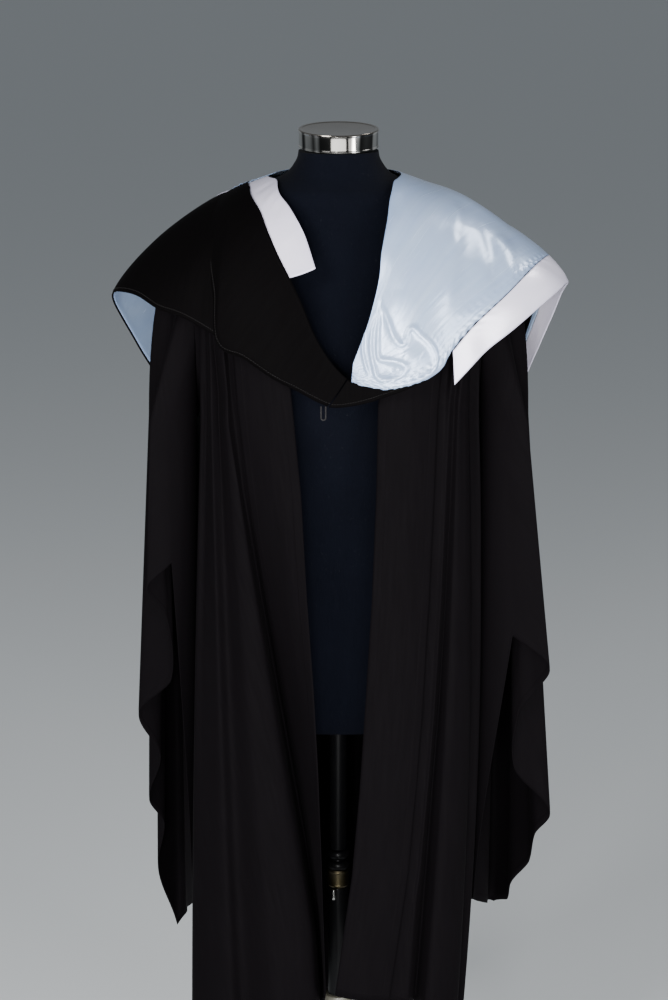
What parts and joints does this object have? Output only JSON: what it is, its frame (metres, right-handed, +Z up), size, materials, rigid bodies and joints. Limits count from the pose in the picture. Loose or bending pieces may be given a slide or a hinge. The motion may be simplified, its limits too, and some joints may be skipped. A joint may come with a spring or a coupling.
{
  "type": "open graduation gown with hood on a limbless dress form with a stand",
  "caption": "Open-fronted pleated gown with bell sleeves and a satin-lined hood, worn on a limbless dress form on a round-based stand.",
  "frame": {"origin": "centre of the round base's underside, on the floor", "axes": "+Z up along the stand, garment faces -Y, the wearer's right side lies at -X"},
  "size_m": [0.6157, 0.4139, 1.468],
  "materials": {
    "gown_cloth": "matte",
    "hood_cloth": "matte",
    "satin_blue": "satin",
    "satin_lilac": "satin",
    "form_jersey": "matte",
    "cap_chrome": "polished",
    "stand_black": "gloss",
    "stand_brass": "satin",
    "stand_steel": "satin",
    "stand_base": "satin"
  },
  "bodies": {
    "root": {"form_torso": "form_jersey", "neck_cap": "cap_chrome", "stand_pole": "stand_black", "stand_bead_1": "stand_black", "stand_bead_2": "stand_black", "stand_spacer": "stand_black", "stand_clamp": "stand_brass", "clamp_lever": "stand_steel", "stand_column": "stand_black", "stand_hub": "stand_base", "stand_base": "stand_base", "gown_yoke": "gown_cloth", "gown_back": "gown_cloth", "gown_band_right": "gown_cloth", "gown_band_left": "gown_cloth", "gown_front_right": "gown_cloth", "gown_front_left": "gown_cloth", "gown_sleeve_right": "gown_cloth", "gown_sleeve_left": "gown_cloth", "hood_cape": "hood_cloth", "hood_lining": "satin_blue", "hood_scarf": "hood_cloth", "hood_neckband": "hood_cloth", "hood_panel": "satin_blue", "hood_border": "satin_lilac", "hood_strip": "satin_lilac", "hood_loop": "hood_cloth"}
  },
  "joints": []
}
